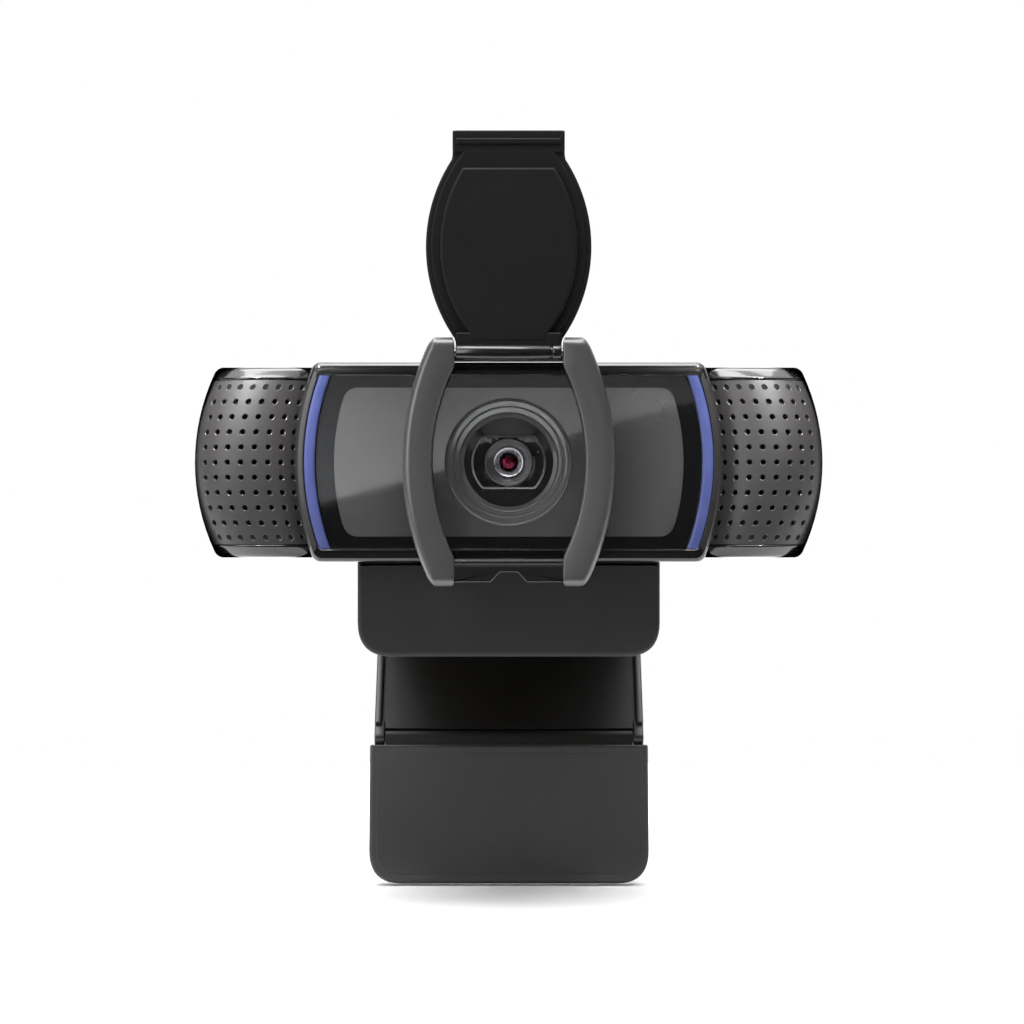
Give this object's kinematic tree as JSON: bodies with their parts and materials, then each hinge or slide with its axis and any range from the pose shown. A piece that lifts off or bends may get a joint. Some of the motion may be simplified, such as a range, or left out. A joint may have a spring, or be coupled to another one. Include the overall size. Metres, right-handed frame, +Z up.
{
  "type": "webcam",
  "caption": "Wide clip-on webcam with perforated microphone grilles, flip-up privacy shutter, and a folding monitor clip with a tripod thread.",
  "frame": {"origin": "centre of the rubber pad under the clip plate, which rests on the monitor's top edge", "axes": "+Z up, -Y the way the lens looks, +X to the viewer's right seen from the front of the camera"},
  "size_m": [0.0952, 0.0757, 0.1184],
  "materials": {
    "window_clear": "polished clear",
    "gloss_black": "polished",
    "panel_grey": "satin print behind the window",
    "lens_black": "fine matte",
    "lens_glass": "coated",
    "ring_metal": "satin",
    "coil_copper": "enamelled winding",
    "magnet_steel": "plated",
    "spring_brass": "satin",
    "sensor_silicon": "glossy",
    "board_green": "solder mask",
    "chip_black": "moulded",
    "connector_white": "moulded",
    "strip_blue": "translucent",
    "lamp_white": "clear dome",
    "grille_grey": "satin, perforated",
    "cloth_black": "woven mesh",
    "mic_metal": "satin",
    "rubber_black": "matte",
    "pin_steel": "turned",
    "arm_grey": "satin",
    "flap_black": "satin",
    "clip_black": "satin",
    "pad_rubber": "fine matte",
    "leg_black": "polished web, satin rails",
    "foot_grey": "satin",
    "insert_brass": "turned"
  },
  "bodies": {
    "clip": {"clip_plate": "clip_black", "plate_pad": "pad_rubber", "lip_pad": "pad_rubber", "tilt_bracket": "clip_black", "tilt_pin": "pin_steel", "friction_washers": "spring_brass", "leg_pin": "pin_steel"},
    "leg": {"leg": "leg_black", "tripod_insert": "insert_brass", "foot_pin": "pin_steel"},
    "foot": {"foot": "foot_grey", "foot_pad": "pad_rubber"},
    "lens": {"lens_barrel": "lens_black", "front_lens": "lens_glass", "rear_lens": "lens_glass", "lens_retainer": "ring_metal", "focus_coil": "coil_copper"},
    "flap": {"shutter_flap": "flap_black"},
    "head": {"front_window": "window_clear", "front_frame": "gloss_black", "inner_panel": "panel_grey", "ring_trim": "panel_grey", "lens_bezel": "lens_black", "focus_housing": "ring_metal", "focus_magnets": "magnet_steel", "focus_springs": "spring_brass", "sensor_holder": "lens_black", "infrared_filter": "lens_glass", "image_sensor": "sensor_silicon", "main_board": "board_green", "shield_can": "ring_metal", "processor_chip": "chip_black", "memory_chip": "chip_black", "cable_connector": "connector_white", "light_strip_left": "strip_blue", "light_strip_right": "strip_blue", "lamp_left": "lamp_white", "lamp_right": "lamp_white", "grille_left": "grille_grey", "grille_right": "grille_grey", "acoustic_cloth_left": "cloth_black", "acoustic_cloth_right": "cloth_black", "microphone_left": "mic_metal", "microphone_right": "mic_metal", "microphone_boot_left": "rubber_black", "microphone_boot_right": "rubber_black", "rear_shell": "gloss_black", "case_screws": "pin_steel", "cable_grommet": "rubber_black", "shutter_frame": "arm_grey", "shutter_pin": "pin_steel"}
  },
  "joints": [
    {"name": "head_tilt", "type": "hinge", "parent": "clip", "child": "head", "pos_m": [0, -0.006, 0.0059], "axis": [1, 0, 0], "range_deg": [-20, 12]},
    {"name": "shutter_flip", "type": "hinge", "parent": "head", "child": "flap", "pos_m": [0, -0.0255, 0.0354], "axis": [1, 0, 0], "range_deg": [0, 180]},
    {"name": "autofocus", "type": "slide", "parent": "head", "child": "lens", "axis": [0, -1, 0], "range_m": [0, 0.0003], "stiffness_N_per_m": 60},
    {"name": "leg_fold", "type": "hinge", "parent": "clip", "child": "leg", "pos_m": [0, 0.047, -0.0021], "axis": [1, 0, 0], "range_deg": [-47, 70]},
    {"name": "foot_fold", "type": "hinge", "parent": "leg", "child": "foot", "pos_m": [0, 0.02503, -0.02591], "axis": [1, 0, 0], "range_deg": [-30, 57]}
  ]
}
